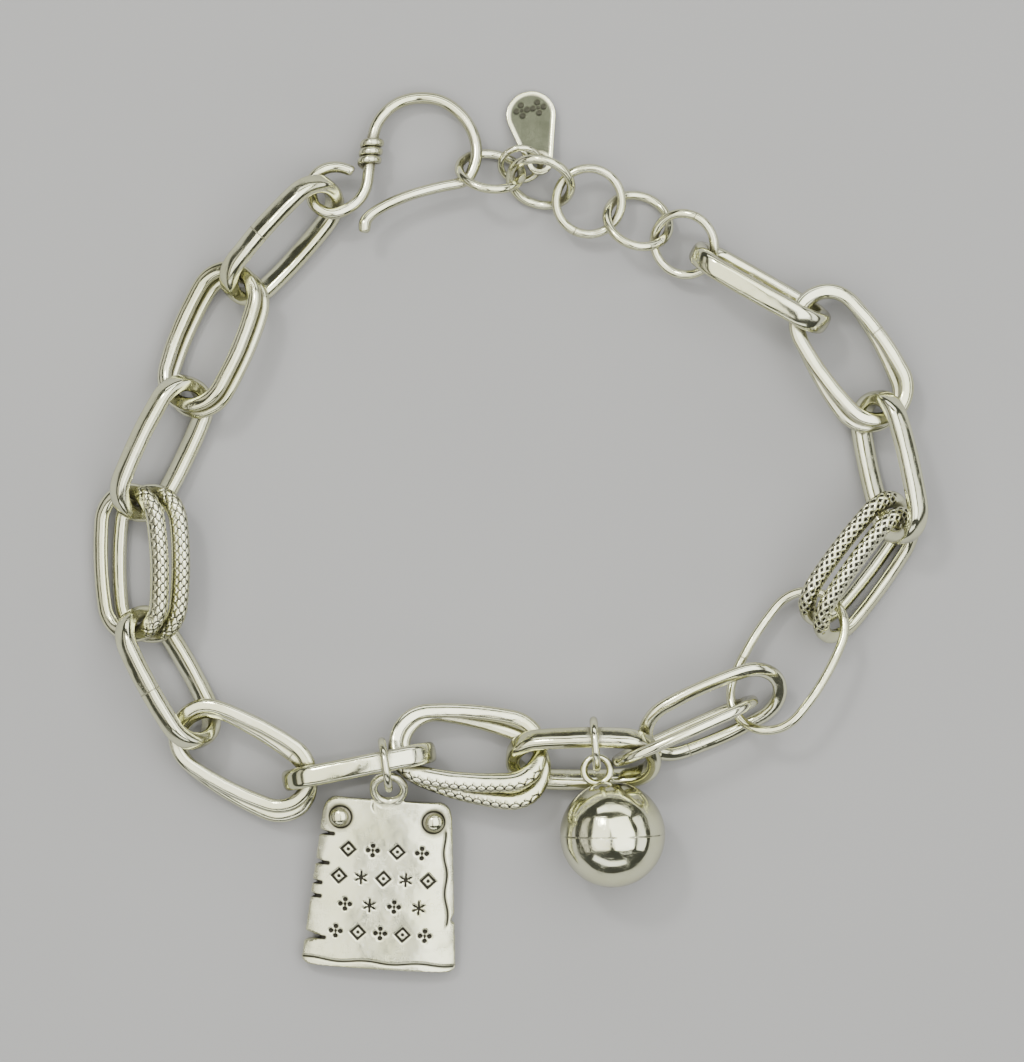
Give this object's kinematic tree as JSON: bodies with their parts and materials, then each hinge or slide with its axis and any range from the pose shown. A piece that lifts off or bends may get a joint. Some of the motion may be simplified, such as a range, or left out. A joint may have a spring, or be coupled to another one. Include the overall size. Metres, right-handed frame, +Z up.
{
  "type": "charm bracelet",
  "caption": "Silver chain bracelet of large oval links, single and paired, some with a scale pattern, with a wire hook, extension rings, a tag charm, a ball charm and a teardrop end tag.",
  "frame": {"origin": "the middle of the bracelet's base, on the table it lies on", "axes": "+Z up from the table, +Y toward the hook and end tag, +X to the right seen from above"},
  "size_m": [0.0744, 0.0792, 0.0096],
  "materials": {
    "polished_silver": "polished sterling silver, lightly worn",
    "scale_patterned_silver": "sterling silver, one side with a scale pattern and darkened recesses, the rest polished"
  },
  "bodies": {
    "root": {"hook": "polished_silver", "hook_wrap": "polished_silver", "link_01": "polished_silver", "link_03": "polished_silver", "link_05": "polished_silver", "link_07": "polished_silver", "link_09": "polished_silver", "link_11": "polished_silver", "link_13": "polished_silver", "link_15": "polished_silver", "link_02_upper": "polished_silver", "link_02_lower": "polished_silver", "link_04_upper": "scale_patterned_silver", "link_04_lower": "scale_patterned_silver", "link_06_upper": "polished_silver", "link_06_lower": "polished_silver", "link_08_upper": "scale_patterned_silver", "link_08_lower": "scale_patterned_silver", "link_10_upper": "polished_silver", "link_10_lower": "polished_silver", "link_12_upper": "scale_patterned_silver", "link_12_lower": "scale_patterned_silver", "link_14_upper": "polished_silver", "link_14_lower": "polished_silver", "extension_ring_1": "polished_silver", "extension_ring_2": "polished_silver", "extension_ring_3": "polished_silver", "extension_ring_4": "polished_silver", "extension_ring_5": "polished_silver", "end_tag_ring": "polished_silver", "tag_jump_ring": "polished_silver", "ball_jump_ring": "polished_silver", "end_tag": "polished_silver", "tag_plate": "polished_silver", "tag_rivet_left": "polished_silver", "tag_rivet_right": "polished_silver", "ball": "polished_silver"}
  },
  "joints": []
}
